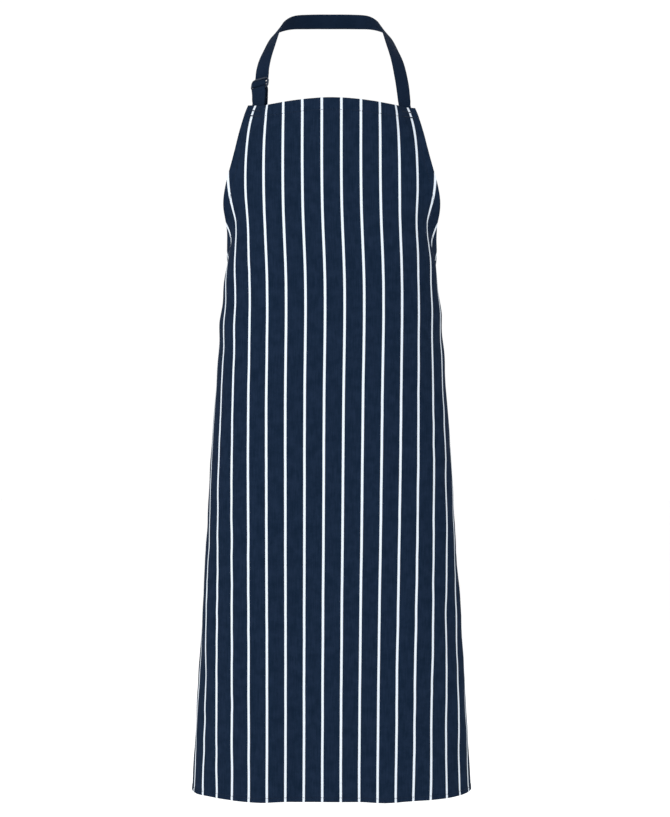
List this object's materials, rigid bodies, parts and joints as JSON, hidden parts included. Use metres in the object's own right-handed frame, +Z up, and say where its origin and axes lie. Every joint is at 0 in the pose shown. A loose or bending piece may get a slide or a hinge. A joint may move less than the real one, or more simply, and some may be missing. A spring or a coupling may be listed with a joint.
{
  "type": "butcher apron",
  "caption": "Long striped bib apron worn round the body, with turned hems, an adjustable neck strap with a slider, and waist ties in a bow.",
  "frame": {"origin": "middle of the neck strap at the back of the neck, where the apron hangs", "axes": "+Z up, the apron faces -Y, +X towards the wearer's left"},
  "size_m": [0.4495, 0.2566, 1.2383],
  "materials": {
    "striped_cotton": "navy twill with thin white woven stripes, matte",
    "woven_tape": "navy herringbone tape, matte",
    "thread": "navy sewing thread, matte",
    "slider_plastic": "navy moulded plastic, satin"
  },
  "bodies": {
    "root": {"apron_panel": "striped_cotton", "top_hem": "striped_cotton", "bottom_hem": "striped_cotton", "armhole_right_hem": "striped_cotton", "armhole_left_hem": "striped_cotton", "side_right_hem": "striped_cotton", "side_left_hem": "striped_cotton", "top_hem_stitching": "thread", "bottom_hem_stitching": "thread", "armhole_right_stitching": "thread", "armhole_left_stitching": "thread", "side_right_stitching": "thread", "side_left_stitching": "thread", "neck_strap": "woven_tape", "slider_tab": "woven_tape", "strap_stitch_upper_right": "thread", "strap_stitch_lower_right": "thread", "strap_stitch_upper_left": "thread", "strap_stitch_lower_left": "thread", "waist_tie_right": "woven_tape", "waist_tie_left": "woven_tape", "bow_loop_right": "woven_tape", "bow_loop_left": "woven_tape", "bow_knot": "woven_tape", "tie_stitch_right": "thread", "tie_stitch_left": "thread"},
    "slider": {"slider": "slider_plastic"},
    "strap_end": {"strap_tail": "woven_tape"},
    "right_tie_end": {"tie_tail_right": "woven_tape"},
    "left_tie_end": {"tie_tail_left": "woven_tape"}
  },
  "joints": [
    {"name": "slider_tilt", "type": "hinge", "parent": "root", "child": "slider", "pos_m": [-0.1087, -0.13801, -0.13783], "axis": [0.8371, -0.5364, 0.1069], "range_deg": [-8, 32], "deforming": ["neck_strap"]},
    {"name": "strap_adjust", "type": "slide", "parent": "root", "child": "strap_end", "axis": [-0.084, -0.1134, -0.99], "range_m": [0, 0.06]},
    {"name": "right_tie_swing", "type": "hinge", "parent": "root", "child": "right_tie_end", "pos_m": [-0.014, 0.0505, -0.4848], "axis": [0, 1, 0], "range_deg": [-15, 15]},
    {"name": "left_tie_swing", "type": "hinge", "parent": "root", "child": "left_tie_end", "pos_m": [0.014, 0.0455, -0.4848], "axis": [0, 1, 0], "range_deg": [-15, 15]}
  ]
}
